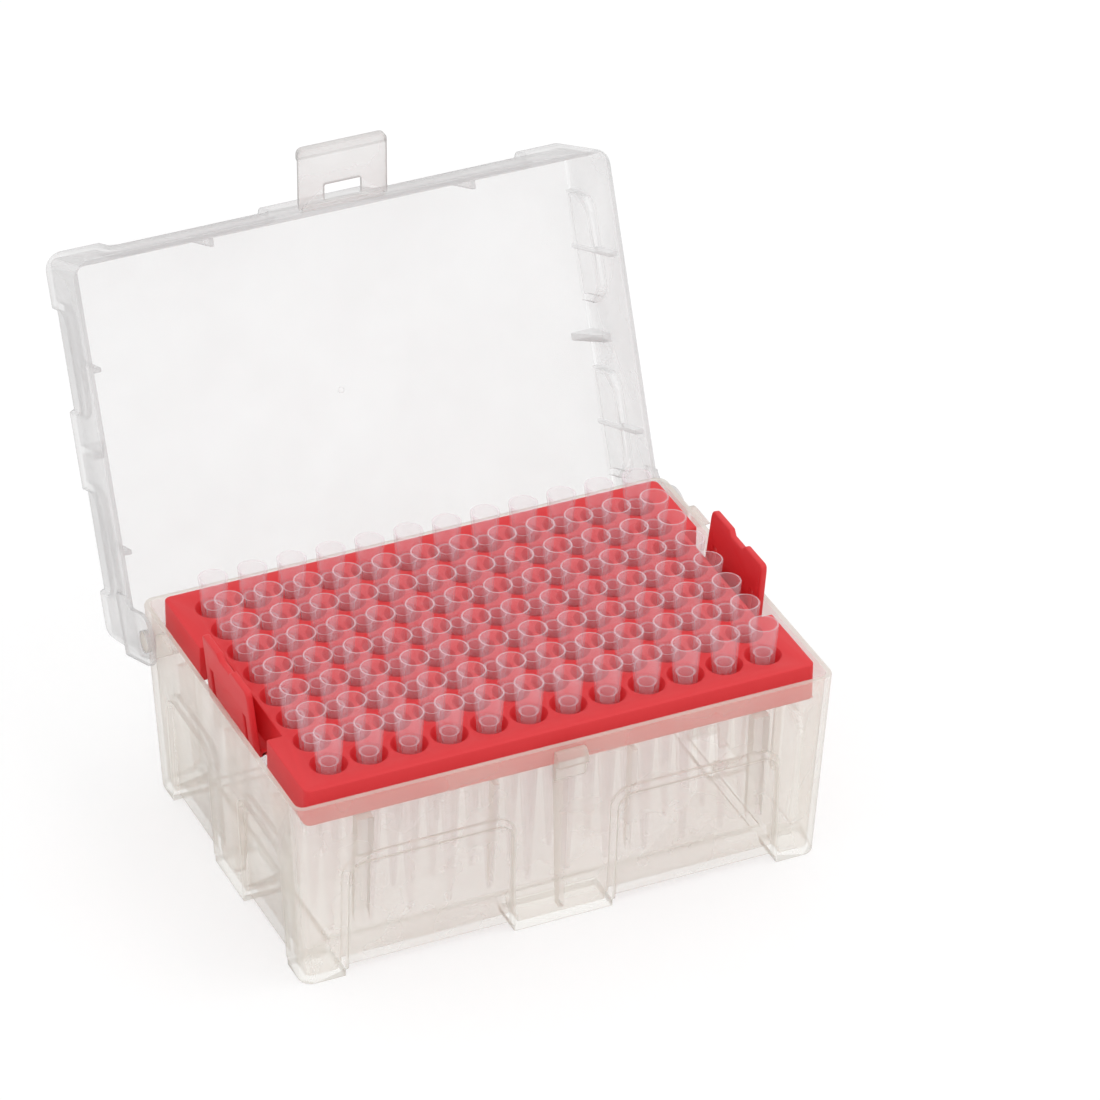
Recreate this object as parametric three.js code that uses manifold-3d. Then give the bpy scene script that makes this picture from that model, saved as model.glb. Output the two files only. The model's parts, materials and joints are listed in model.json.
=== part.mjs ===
// A hinged rack box of pipette tips: base, lid with a flip-out latch flap, a lift-out deck and 96 tips.
// Millimetres, +Z up, front towards -Y. The box is drawn with z = 0 under its feet and its base centred on
// x = y = 0, then moved along y so that the origin is the bottom centre of the box as it stands open.
import * as THREE from "three";
import { mergeVertices } from "three/addons/utils/BufferGeometryUtils.js";
import Module from "manifold-3d";

const wasm = await Module();
wasm.setup();

// Grid of tips
const columns = 12;
const rows = 8;
const looseRows = 4; // rows from the front whose tips are pieces of their own; the rest are one with the deck
const pitch = 9;
const gridShift = -0.7; // the grid's centre is in front of the base's, which leaves room at the hinge

// Tip: heights are from the deck's top
const tipRise = 7.7;
const tipDrop = 42.2;
const tipRimRadius = 3.25;
const tipNeckRadius = 2.65; // outside, at the deck's top
const tipEndRadius = 0.45;
const tipRimWall = 0.4;
const tipNeckWall = 0.6;
const tipEndBore = 0.22;
const tipStepRise = 2.2; // the step inside, where the pipette's cone stops
const tipSides = 6;

// Deck
const deckMarginEnds = 8.5; // from the last tip's centre to the deck's end
const deckMarginSides = 7.9;
const deckRise = 2.2; // its top above the base's rim
const deckHeight = 8.7;
const deckCorner = 1.5;
const deckPlate = 3;
const deckWall = 1.5;
const wellWeb = 1.2; // left between two wells, at the deck's top
const wellGap = 0.35; // between a loose tip and the mouth below it
const wellBite = 0.1; // how far a seated tip is pressed into its well
const wellRun = 0.5; // how far a well's cutting cone runs past the plate's two faces
const pocketDepth = 3.5; // finger pocket, in from the deck's end
const fingerRoom = 6.3; // on both sides of the wing

// Wings at both ends of the deck
const wingWidth = 24.4;
const wingSpread = 0.6; // wider at its foot, each side
const wingRise = 8;
const wingThickness = 1.5;
const wingReach = 1.9; // its top's outer face, beyond the deck's end
const wingLean = 0.1;
const wingNotchWidth = 9;
const wingNotchDepth = 1.4;
const wingHornBevel = 1.2;
const wingSlotWidth = 1.8;
const wingSlotInset = 3.2; // from the wing's end to the slot's middle
const wingSlotRise = 0.4; // the slots' tops, above the deck's top

// Base: it goes round the deck, and stands as high as the tips need
const deckGap = 2.3; // between the deck and the base's rim
const tipFloorGap = 2.3; // under the tips
const baseCorner = 3;
const baseLean = 0.0475; // draft of each wall, for each millimetre of height
const baseWall = 1.3;
const baseEdge = 0.5; // chamfer round the feet
const cornerColumnEnd = 9.7; // corner columns as the front shows them
const cornerColumnSide = 8.6;
const middleColumnFront = 22.8;
const middleColumnSide = 16;
const panelDepth = 1.4;
const panelLedge = 0.8;
const panelCorner = 3.5;
const basePanelDrop = 17.1; // from the rim to the top of the recessed panels
const footHeight = 1.7;
const floorRise = 1; // the middle of the floor over the strips beside it
const floorInsetEnd = 9; // from the foot's outline to the raised floor
const floorInsetSide = 9.3;

// Ribs inside the base that carry the deck
const seatGap = 0.5;
const ribThickness = 1.2;
const ribLap = 1.6; // how far each reaches under the deck's edge
const ribFoot = 11;
const ribTaper = 3;
const ribNear = 15.75; // from the middle, on the front and back
const ribFarInset = 12.8; // from the deck's end
const ribFarThickness = 3.6;
const ribPocketGap = 5.4; // on the ends, beyond the finger pocket
const spineDepthTop = 6;
const spineDepthFoot = 2.5;

// Hinge
const pivotInset = 5.1; // in front of the base's back rim
const pivotDrop = 7.4; // below the base's rim
const pinRadius = 2.4;
const pinGap = 0.1;
const pinReach = 1.3; // beyond the base's rim
const earGap = 0.3; // between the base's rim and the ear's inner face
const earThickness = 1.2;
const earRadius = 5.8;
const earShift = -0.5; // the ear's round end is a little in front of the pin
const earFillet = 2.6;
const earRise = 6; // how far the ear laps up the lid's wall
const guardGap = 0.8;
const guardFoot = 7.4; // the guard's length, in front of the ear, along the rim
const stopGap = 0.6; // between the open lid's rim and the base's back wall

// Lid
const lidOverhang = 1.1;
const lidHeight = 21.8;
const lidCorner = 4;
const lidLean = 0.03;
const lidWall = 1.2;
const lidEdge = 1.2; // chamfer round the plate
const lidGap = 0.4; // between the two rims when shut
const lidPanelHeight = 10.5;
const lidRibThickness = 1.1;
const lidRibDepth = 2;
const lidPadWidth = 8;
const lidPadClear = 1; // over the wings

// Latch flap on the lid's front, and the catch that it closes over
const flapWidth = 20.6;
const flapLength = 14.6;
const flapThickness = 1;
const flapCorner = 2;
const flapLipHeight = 2.9;
const flapLipDepth = 0.7;
const flapRootGap = 0.4; // from the film hinge's line to the flap
const flapStandOff = 0.15; // the film hinge's line, in front of the lid's rim and under it
const flapFaceGap = 0.1; // from that line to the flap's inner face
const flapRootThickness = 0.3; // the flap thins towards the film, so that it can fold right back
const flapRootTaper = 1.4;
const windowWidth = 8.6;
const windowTop = 1;
const windowHeight = 4;
const catchWidth = 7;
const catchDrop = 1.1; // its top, below the base's rim
const catchFootHeight = 2.8;
const catchGap = 0.45; // to the flap's inner face and the window's lower edge
const catchInset = 0.15; // the hook's end, behind the flap's outer face
const flapOut = THREE.MathUtils.degToRad(68.5); // from hanging, as it is left when the lid is open

// Curves
const cornerSteps = 2;
const roundSides = 24;
const overrun = 2; // how far a cutting or joining solid runs past the face that it meets

// Places that follow from the sizes above
const deckLength = (columns - 1) * pitch + 2 * deckMarginEnds;
const deckWidth = (rows - 1) * pitch + 2 * deckMarginSides;
const deckTop = footHeight + floorRise + baseWall + tipFloorGap + tipDrop;
const deckBottom = deckTop - deckHeight;
const wellRadius = (pitch - wellWeb) / 2;
const pocketHalf = wingWidth / 2 + fingerRoom;
const baseLength = deckLength + 2 * (deckGap + baseWall);
const baseWidth = deckWidth + 2 * (deckGap + baseWall);
const baseHeight = deckTop - deckRise;
const pivotY = baseWidth / 2 - pivotInset;
const pivotZ = baseHeight - pivotDrop;
const earInner = baseLength / 2 + earGap;
const lidRim = baseHeight + lidGap;
const lidTop = lidRim + lidHeight;
const lidLength = baseLength + 2 * lidOverhang;
const lidWidth = baseWidth + 2 * lidOverhang;
const flapFace = lidWidth / 2 + flapStandOff + flapFaceGap;

const halfTurn = Math.PI;
const quarterTurn = Math.PI / 2;
const clearPlastic = { color: 0xe9e4de, roughness: 0.42, metalness: 0, transparent: true, opacity: 0.6 };
const materials = {
  base: new THREE.MeshStandardMaterial({ ...clearPlastic, color: 0xe4dcd2 }),
  lid: new THREE.MeshStandardMaterial(clearPlastic),
  flap: new THREE.MeshStandardMaterial({ ...clearPlastic, color: 0xefedeb }),
  deck: new THREE.MeshStandardMaterial({ color: 0xd2383a, roughness: 0.5, metalness: 0 }),
  tip: new THREE.MeshStandardMaterial({ ...clearPlastic, color: 0xf4f2ef, opacity: 0.45 }),
};

// From three.js geometry to a solid that can be joined and cut, and back to a named mesh.
function solid(geometry) {
  const bare = geometry.index ? geometry.toNonIndexed() : geometry.clone();
  bare.deleteAttribute("normal");
  bare.deleteAttribute("uv");
  const merged = mergeVertices(bare, 1e-4);
  const vertProperties = merged.attributes.position.array;
  const triVerts = new Uint32Array(merged.index.array);
  return new wasm.Manifold(new wasm.Mesh({ numProp: 3, vertProperties, triVerts }));
}

function meshOf(name, body, material) {
  const { vertProperties, triVerts } = body.getMesh();
  const geometry = new THREE.BufferGeometry();
  geometry.setAttribute("position", new THREE.BufferAttribute(vertProperties, 3));
  geometry.setIndex(new THREE.BufferAttribute(triVerts, 1));
  geometry.computeVertexNormals();
  const mesh = new THREE.Mesh(geometry, material);
  mesh.name = name;
  return mesh;
}

const joined = (solids) => solids.reduce((all, next) => all.add(next));

// A box between two corners.
function block(x0, x1, y0, y1, z0, z1) {
  const box = new THREE.BoxGeometry(x1 - x0, y1 - y0, z1 - z0);
  return solid(box.translate((x0 + x1) / 2, (y0 + y1) / 2, (z0 + z1) / 2));
}

// A plate that stands across x: its outline is a shape or a list of [y, z], and it is `thickness` thick
// about `x`.
function plateAcross(outline, thickness, x = 0) {
  const drawn = outline instanceof THREE.Shape;
  const shape = drawn ? outline : new THREE.Shape(outline.map(([y, z]) => new THREE.Vector2(y, z)));
  const geometry = new THREE.ExtrudeGeometry(shape, {
    depth: thickness,
    bevelEnabled: false,
    curveSegments: cornerSteps,
  });
  const turn = new THREE.Matrix4().makeBasis(
    new THREE.Vector3(0, 1, 0),
    new THREE.Vector3(0, 0, 1),
    new THREE.Vector3(1, 0, 0),
  );
  return geometry.applyMatrix4(turn).translate(x - thickness / 2, 0, 0);
}

// A cylinder along x, from x0 to x1.
function rod(radius, x0, x1, y, z) {
  const cylinder = new THREE.CylinderGeometry(radius, radius, x1 - x0, roundSides);
  return solid(cylinder.rotateZ(quarterTurn).translate((x0 + x1) / 2, y, z));
}

function roundedRectangle(length, width, radius) {
  const x = length / 2 - radius;
  const y = width / 2 - radius;
  return new THREE.Shape()
    .absarc(x, y, radius, 0, quarterTurn)
    .absarc(-x, y, radius, quarterTurn, halfTurn)
    .absarc(-x, -y, radius, halfTurn, 3 * quarterTurn)
    .absarc(x, -y, radius, 3 * quarterTurn, 2 * halfTurn);
}

// A round-cornered block whose sides lean in by `lean` for each millimetre down from `rim`, where it has its
// full length and width. `edge` bevels it round the bottom.
function draftedBlock({ length, width, corner, lean, rim, bottom, top, edge = 0 }) {
  const depth = top + overrun - bottom - 2 * edge;
  const options = { depth, bevelEnabled: edge > 0, curveSegments: cornerSteps };
  const bevel = { bevelThickness: edge, bevelSize: edge, bevelOffset: -edge, bevelSegments: 1 };
  const outline = roundedRectangle(length, width, corner);
  const geometry = new THREE.ExtrudeGeometry(outline, { ...options, ...bevel });
  geometry.translate(0, 0, bottom + edge);
  const place = geometry.attributes.position;
  for (let i = 0; i < place.count; i++) {
    const inward = (rim - place.getZ(i)) * lean;
    place.setX(i, place.getX(i) - Math.sign(place.getX(i)) * inward);
    place.setY(i, place.getY(i) - Math.sign(place.getY(i)) * inward);
  }
  return solid(geometry).subtract(block(-length, length, -width, width, top, top + 2 * overrun));
}

// What a recessed panel takes away, drawn on a wall: x along it, y up it from the bottom, z out of it.
// Its sides and top slope, and its top corners are round.
function panelCut(width, height) {
  const half = width / 2 - panelLedge;
  const top = height - panelLedge;
  const shape = new THREE.Shape();
  shape.moveTo(-half, -overrun);
  shape.lineTo(half, -overrun);
  shape.lineTo(half, top - panelCorner);
  shape.quadraticCurveTo(half, top, half - panelCorner, top);
  shape.lineTo(panelCorner - half, top);
  shape.quadraticCurveTo(-half, top, -half, top - panelCorner);
  return new THREE.ExtrudeGeometry(shape, {
    depth: overrun,
    bevelThickness: panelDepth,
    bevelSize: panelLedge,
    bevelSegments: 1,
    curveSegments: cornerSteps,
  });
}

// Lays a shape drawn on a wall on to the wall that faces `turn` from -Y, `reach` from the middle at z = 0.
function ontoWall(geometry, reach, lean, turn) {
  const along = new THREE.Vector3(1, 0, 0);
  const up = new THREE.Vector3(0, -lean, 1).normalize();
  const out = new THREE.Vector3().crossVectors(along, up);
  const frame = new THREE.Matrix4().makeBasis(along, up, out).setPosition(0, -reach, 0);
  return geometry.applyMatrix4(frame).rotateZ(turn);
}

// The four walls of a tub, from the front one round: how far each is from the middle, how far the deck's
// edge beside it is, and where its two panels lie. The columns between the panels are the base's.
function wallsOf(length, width) {
  const foot = baseHeight * baseLean;
  const panelsBetween = (middle, end) => ({ centre: (middle / 2 + end) / 2, width: end - middle / 2 });
  const front = panelsBetween(middleColumnFront, baseLength / 2 - foot - cornerColumnEnd);
  const side = panelsBetween(middleColumnSide, baseWidth / 2 - foot - cornerColumnSide);
  return [0, 1, 2, 3].map((quarter) => ({
    turn: quarter * quarterTurn,
    reach: quarter % 2 ? length / 2 : width / 2,
    deckReach: quarter % 2 ? deckLength / 2 : deckWidth / 2 + (quarter - 1) * gridShift,
    isEnd: quarter % 2 === 1,
    panel: quarter % 2 ? side : front,
  }));
}

// An open-topped tub with its floor's underside at z = 0. Its panels step in together, outside and inside.
function tub({ length, width, height, corner, lean, wall, floor, edge, panelHeight }) {
  const shared = { lean, rim: height };
  let outside = draftedBlock({ ...shared, length, width, corner, bottom: 0, top: height, edge });
  const inner = { length: length - 2 * wall, width: width - 2 * wall, corner: corner - wall };
  let inside = draftedBlock({ ...shared, ...inner, bottom: floor, top: height + overrun });
  for (const { turn, reach, panel } of wallsOf(length, width)) {
    const foot = reach - height * lean;
    for (const side of [-1, 1]) {
      const outer = panelCut(panel.width, panelHeight).translate(side * panel.centre, 0, 0);
      const backed = panelCut(panel.width + 2 * wall, panelHeight + wall);
      outside = outside.subtract(solid(ontoWall(outer, foot, lean, turn)));
      backed.translate(side * panel.centre, 0, -wall);
      inside = inside.subtract(solid(ontoWall(backed, foot, lean, turn)));
    }
  }
  return { outside, inside };
}

// Base

const baseInnerAt = (reach, z) => reach - baseWall - (baseHeight - z) * baseLean;

// A rib on the inside of the wall that faces `turn`, from its tapered foot up to just under the deck.
function wallRib({ reach, turn, along, thickness, foot, taper, depthFoot, depthTop }) {
  const top = deckBottom - seatGap;
  const outline = [
    [-baseInnerAt(reach, foot) - baseWall / 2, foot],
    [-baseInnerAt(reach, foot + taper) + depthFoot, foot + taper],
    [-baseInnerAt(reach, top) + depthTop, top],
    [-baseInnerAt(reach, top) - baseWall / 2, top],
  ];
  return solid(plateAcross(outline, thickness, along).rotateZ(turn));
}

function baseRibs() {
  const ribs = [];
  for (const { turn, reach, deckReach, isEnd } of wallsOf(baseLength, baseWidth)) {
    const spine = { depthFoot: spineDepthFoot, depthTop: spineDepthTop, foot: footHeight, taper: 0 };
    ribs.push(wallRib({ ...spine, reach, turn, along: 0, thickness: ribThickness }));
    const depth = baseInnerAt(reach, deckBottom - seatGap) - deckReach + ribLap;
    const plain = { reach, turn, depthFoot: depth, depthTop: depth, foot: ribFoot, taper: ribTaper };
    const pocketSide = pocketHalf + deckWall + ribPocketGap + ribThickness / 2;
    const fromDeckEnd = deckLength / 2 - ribFarInset;
    for (const side of [-1, 1]) {
      if (isEnd) {
        ribs.push(wallRib({ ...plain, along: side * pocketSide, thickness: ribThickness }));
      } else {
        ribs.push(wallRib({ ...plain, along: side * ribNear, thickness: ribThickness }));
        ribs.push(wallRib({ ...plain, along: side * fromDeckEnd, thickness: ribFarThickness }));
      }
    }
  }
  return joined(ribs);
}

// The floor: strips between the columns, a raised middle, and hollow feet under the columns.
function baseFloor() {
  const endX = baseLength / 2;
  const sideY = baseWidth / 2;
  const foot = baseHeight * baseLean;
  const midX = endX - foot - floorInsetEnd;
  const midY = sideY - foot - floorInsetSide;
  const [front, side] = wallsOf(baseLength, baseWidth).map(({ panel }) => panel);
  const raisedBlock = (x, y, top) => block(-x, x, -y, y, 0, top);
  const hollowBlock = (x, y, top) => block(-x, x, -y, y, -overrun, top);
  const middleTop = footHeight + floorRise;
  const raised = [raisedBlock(midX, midY, middleTop + baseWall)];
  const hollow = [hollowBlock(midX - baseWall, midY - baseWall, middleTop)];
  for (const sign of [-1, 1]) {
    const across = raisedBlock(front.width / 2 + baseWall, sideY, footHeight + baseWall);
    const along = raisedBlock(endX, side.width / 2 + baseWall, footHeight + baseWall);
    raised.push(across.translate([sign * front.centre, 0, 0]), along.translate([0, sign * side.centre, 0]));
    const acrossUnder = hollowBlock(front.width / 2, sideY, footHeight);
    const alongUnder = hollowBlock(endX, side.width / 2, footHeight);
    hollow.push(acrossUnder.translate([sign * front.centre, 0, 0]));
    hollow.push(alongUnder.translate([0, sign * side.centre, 0]));
  }
  return { raised: joined(raised), hollow: joined(hollow) };
}

// The hinge pin and, in front of the lid's ear, the guard that covers its edge, on the +x end wall.
function hingeSide() {
  const reach = baseLength / 2;
  const pin = rod(pinRadius, reach - baseWall, reach + pinReach, pivotY, pivotZ);
  const rear = pivotY + earShift - earRadius - guardGap;
  const outline = [
    [rear - guardFoot - earFillet, baseHeight],
    [rear - earFillet, baseHeight],
    [rear, baseHeight - earFillet],
    [rear, pivotZ],
  ];
  const thickness = pinReach + baseWall;
  const guard = solid(plateAcross(outline, thickness, reach + pinReach - thickness / 2));
  return pin.add(guard);
}

// The catch under the front rim: a hook that comes through the flap's window, over a thinner foot.
function frontCatch() {
  const root = baseWall / 2 - baseWidth / 2;
  const foot = catchGap - flapFace;
  const hook = catchInset - flapFace - flapThickness;
  const top = baseHeight - catchDrop;
  const hookFoot = lidRim - flapStandOff - flapRootGap - windowTop - windowHeight + catchGap;
  const outline = [
    [root, top],
    [foot, top],
    [hook, top - (foot - hook)],
    [hook, hookFoot + catchGap],
    [foot, hookFoot],
    [foot, hookFoot - catchFootHeight],
    [root, hookFoot - catchFootHeight - (root - foot)],
  ];
  return solid(plateAcross(outline, catchWidth));
}

function makeBase() {
  const { outside, inside } = tub({
    length: baseLength,
    width: baseWidth,
    height: baseHeight,
    corner: baseCorner,
    lean: baseLean,
    wall: baseWall,
    floor: baseWall,
    edge: baseEdge,
    panelHeight: baseHeight - basePanelDrop,
  });
  const { raised, hollow } = baseFloor();
  const cavity = inside.subtract(raised).subtract(baseRibs());
  const shell = outside.subtract(cavity).subtract(hollow);
  const hinge = hingeSide();
  return joined([shell, hinge, hinge.mirror([1, 0, 0]), frontCatch()]);
}

// Tips and deck

// The tip's outside radius at a height over the deck's top.
function tipRadiusAt(z) {
  const from = z > 0 ? [tipNeckRadius, tipRimRadius, tipRise] : [tipNeckRadius, tipEndRadius, -tipDrop];
  return from[0] + ((from[1] - from[0]) * z) / from[2];
}

// One tip, standing at the origin with the deck's top at z = 0.
function tipGeometry() {
  const profile = [
    [tipRimRadius, tipRise],
    [tipNeckRadius, 0],
    [tipEndRadius, -tipDrop],
    [tipEndBore, -tipDrop],
    [tipRadiusAt(tipStepRise) - tipNeckWall, tipStepRise],
    [tipRimRadius - tipRimWall, tipRise],
    [tipRimRadius, tipRise],
  ];
  const points = profile.map(([r, z]) => new THREE.Vector2(r, z)).reverse();
  return new THREE.LatheGeometry(points, tipSides).rotateX(quarterTurn);
}

// What a well takes away: a cone from the deck's top to its mouth under the plate.
function wellGeometry(mouthRadius) {
  const slope = (wellRadius - mouthRadius) / deckPlate;
  const top = wellRadius + slope * wellRun;
  const bottom = mouthRadius - slope * wellRun;
  const cone = new THREE.CylinderGeometry(top, bottom, deckPlate + 2 * wellRun, tipSides);
  return cone.rotateX(quarterTurn).translate(0, 0, -deckPlate / 2);
}

const gridPlace = (column, row) => [
  (column - (columns - 1) / 2) * pitch,
  (row - (rows - 1) / 2) * pitch + gridShift,
  deckTop,
];

// One wing: a leaning plate with a horned top edge and two slots in its foot.
function wing() {
  const half = wingWidth / 2;
  const foot = half + wingSpread;
  const notch = wingNotchWidth / 2;
  const outline = [
    [-foot, -deckHeight],
    [foot, -deckHeight],
    [half, wingRise - wingHornBevel],
    [half - wingHornBevel, wingRise],
    [notch, wingRise],
    [notch - wingNotchDepth, wingRise - wingNotchDepth],
    [wingNotchDepth - notch, wingRise - wingNotchDepth],
    [-notch, wingRise],
    [wingHornBevel - half, wingRise],
    [-half, wingRise - wingHornBevel],
  ];
  const geometry = plateAcross(outline, wingThickness, deckLength / 2 + wingReach - wingThickness / 2);
  const place = geometry.attributes.position;
  for (let i = 0; i < place.count; i++) {
    place.setX(i, place.getX(i) - (wingRise - place.getZ(i)) * wingLean);
  }
  const slotHalf = wingSlotWidth / 2;
  const slot = block(0, deckLength, -slotHalf, slotHalf, deckWall - deckHeight, wingSlotRise);
  const slotAt = half - wingSlotInset;
  return solid(geometry).subtract(slot.translate([0, -slotAt, 0])).subtract(slot.translate([0, slotAt, 0]));
}

// The pocket's floor, from under the deck's end wall out to the wing's foot.
function pocketFloor() {
  const inner = deckLength / 2 - pocketDepth - deckWall / 2;
  const outer = deckLength / 2 + wingReach - wingThickness / 2 - (wingRise + deckHeight) * wingLean;
  const half = wingWidth / 2 + wingSpread;
  return block(inner, outer, -half, half, -deckHeight, deckWall - deckHeight);
}

// The deck's shell: plate and skirt, notched at both ends for the finger pockets. z = 0 is its top.
function deckShell() {
  const shape = { lean: 0, rim: 0, corner: deckCorner };
  const outer = { ...shape, length: deckLength, width: deckWidth };
  const outside = draftedBlock({ ...outer, bottom: -deckHeight, top: 0 });
  const inner = { ...shape, length: deckLength - 2 * deckWall, width: deckWidth - 2 * deckWall };
  const inside = draftedBlock({ ...inner, bottom: -deckHeight - overrun, top: -deckPlate });
  const from = deckLength / 2 - pocketDepth;
  const pocket = (grow) => {
    const half = pocketHalf + grow;
    const end = block(from - grow, deckLength, -half, half, -deckHeight - 2 * overrun, overrun);
    return end.add(end.mirror([1, 0, 0]));
  };
  return outside.subtract(inside.subtract(pocket(deckWall))).subtract(pocket(0));
}

function makeDeck() {
  const end = wing().add(pocketFloor());
  let deck = deckShell().add(end).add(end.rotate([0, 0, 180]));
  deck = deck.translate([0, gridShift, deckTop]);
  const narrowest = tipRadiusAt(-deckPlate);
  const looseWell = solid(wellGeometry(narrowest + wellGap));
  const seatedWell = solid(wellGeometry(narrowest - wellBite));
  const tip = solid(tipGeometry());
  for (let row = 0; row < rows; row++) {
    for (let column = 0; column < columns; column++) {
      const place = gridPlace(column, row);
      const loose = row < looseRows;
      deck = deck.subtract((loose ? looseWell : seatedWell).translate(place));
      if (!loose) deck = deck.add(tip.translate(place));
    }
  }
  return deck;
}

// Lid: drawn shut, in the box's frame

// An ear that hangs from the lid's end wall over the hinge pin, with the eye cut through it.
function ear(sign) {
  const y = pivotY + earShift;
  const inFront = y - earRadius;
  const behind = y + earRadius;
  const top = lidRim + earRise;
  const shape = new THREE.Shape();
  shape.moveTo(behind, top);
  shape.lineTo(inFront - earFillet, top);
  shape.lineTo(inFront - earFillet, lidRim);
  shape.quadraticCurveTo(inFront, lidRim, inFront, lidRim - earFillet);
  shape.lineTo(inFront, pivotZ);
  shape.absarc(y, pivotZ, earRadius, halfTurn, 2 * halfTurn);
  const middle = sign * (earInner + earThickness / 2);
  const plate = solid(plateAcross(shape, earThickness, middle));
  const ends = [middle - earThickness, middle + earThickness];
  const through = rod(pinRadius + pinGap, ...ends, pivotY, pivotZ);
  return plate.subtract(through);
}

// Ribs and pads inside the lid's walls, drawn with the lid's plate down at z = 0, as its tub is.
function lidRibs() {
  const innerAt = (reach, z) => reach - lidWall - (lidHeight - z) * lidLean;
  const inward = (reach, turn, along, width, from, to) => {
    const outline = [
      [-innerAt(reach, from) - lidWall / 2, from],
      [-innerAt(reach, from) + lidRibDepth, from],
      [-innerAt(reach, to) + lidRibDepth, to],
      [-innerAt(reach, to) - lidWall / 2, to],
    ];
    return solid(plateAcross(outline, width, along).rotateZ(turn));
  };
  const ribTop = lidHeight - lidRibThickness;
  const padTop = lidTop - (deckTop + wingRise + lidPadClear);
  const ribs = [];
  for (const { turn, reach, isEnd, panel } of wallsOf(lidLength, lidWidth)) {
    for (const side of [-1, 1]) {
      ribs.push(inward(reach, turn, side * panel.centre, lidRibThickness, lidWall / 2, ribTop));
    }
    if (isEnd) ribs.push(inward(reach, turn, 0, lidPadWidth, lidWall / 2, padTop));
  }
  return joined(ribs);
}

function makeLid() {
  const { outside, inside } = tub({
    length: lidLength,
    width: lidWidth,
    height: lidHeight,
    corner: lidCorner,
    lean: lidLean,
    wall: lidWall,
    floor: lidWall,
    edge: lidEdge,
    panelHeight: lidPanelHeight,
  });
  const upturned = outside.subtract(inside.subtract(lidRibs()));
  const cover = upturned.rotate([180, 0, 0]).translate([0, 0, lidTop]);
  return cover.add(ear(-1)).add(ear(1));
}

// Latch flap: drawn hanging, with the film hinge's line on the x axis

function makeFlap() {
  const half = flapWidth / 2;
  const outline = (top) => {
    const foot = -flapRootGap - flapLength;
    const shape = new THREE.Shape();
    shape.moveTo(half, top);
    shape.lineTo(-half, top);
    shape.lineTo(-half, foot + flapCorner);
    shape.absarc(flapCorner - half, foot + flapCorner, flapCorner, halfTurn, 3 * quarterTurn);
    shape.absarc(half - flapCorner, foot + flapCorner, flapCorner, 3 * quarterTurn, 2 * halfTurn);
    return shape;
  };
  const sheet = (top, thickness) => {
    const options = { depth: thickness, bevelEnabled: false, curveSegments: cornerSteps };
    const geometry = new THREE.ExtrudeGeometry(outline(top), options);
    return solid(geometry.rotateX(quarterTurn).translate(0, -flapFaceGap, 0));
  };
  const plate = sheet(-flapRootGap, flapThickness);
  const lip = sheet(-flapRootGap - flapLength + flapLipHeight, flapThickness + flapLipDepth);
  const windowFrom = -flapRootGap - windowTop;
  const [slotX, slotY] = [windowWidth / 2, flapFaceGap + 2 * flapThickness];
  const window = block(-slotX, slotX, -slotY, slotY, windowFrom - windowHeight, windowFrom);
  const thinned = [
    [-flapFaceGap - flapRootThickness, -flapRootGap],
    [-flapFaceGap - flapThickness, -flapRootGap - flapRootTaper],
    [-flapFaceGap - flapThickness - overrun, -flapRootGap - flapRootTaper],
    [-flapFaceGap - flapThickness - overrun, overrun],
    [-flapFaceGap - flapRootThickness, overrun],
  ];
  return plate.add(lip).subtract(window).subtract(solid(plateAcross(thinned, 2 * flapWidth)));
}

// How far the lid turns until its back rim rests on the base's back wall.
function openAngle() {
  const reach = Math.hypot(lidWidth / 2 - pivotY, lidRim - pivotZ);
  const shutAngle = Math.atan2(lidRim - pivotZ, lidWidth / 2 - pivotY);
  const wallAngle = Math.atan(baseLean);
  const wallDistance = (pivotInset - pivotDrop * baseLean) * Math.cos(wallAngle) + stopGap;
  return shutAngle + wallAngle + Math.acos(wallDistance / reach);
}

// The box, put together

function assemble() {
  const box = new THREE.Group();
  box.add(meshOf("base_box", makeBase(), materials.base));
  box.add(meshOf("tip_deck", makeDeck(), materials.deck));

  const tips = new THREE.Group();
  const tipBody = solid(tipGeometry());
  for (let row = 0; row < looseRows; row++) {
    for (let column = 0; column < columns; column++) {
      const tip = meshOf("tip_" + "abcdefgh"[row] + (column + 1), tipBody, materials.tip);
      tip.position.set(...gridPlace(column, row));
      tips.add(tip);
    }
  }
  box.add(tips);

  const lidHinge = new THREE.Group();
  lidHinge.position.set(0, pivotY, pivotZ);
  lidHinge.rotation.x = -openAngle();
  const lid = meshOf("lid", makeLid(), materials.lid);
  lid.position.set(0, -pivotY, -pivotZ);
  lidHinge.add(lid);

  const flapHinge = new THREE.Group();
  flapHinge.position.set(0, -lidWidth / 2 - flapStandOff - pivotY, lidRim - flapStandOff - pivotZ);
  flapHinge.rotation.x = -flapOut;
  flapHinge.add(meshOf("latch_flap", makeFlap(), materials.flap));
  lidHinge.add(flapHinge);
  box.add(lidHinge);
  return box;
}

const box = assemble();
const extent = new THREE.Box3().setFromObject(box, true);
box.position.y = -(extent.min.y + extent.max.y) / 2;

const group = new THREE.Group();
group.add(box);

export default group;
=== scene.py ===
# A hinged rack box of pipette tips, standing open: a clear base, a clear lid with its latch flap, a red deck
# and 96 clear tips.
import math

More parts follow.
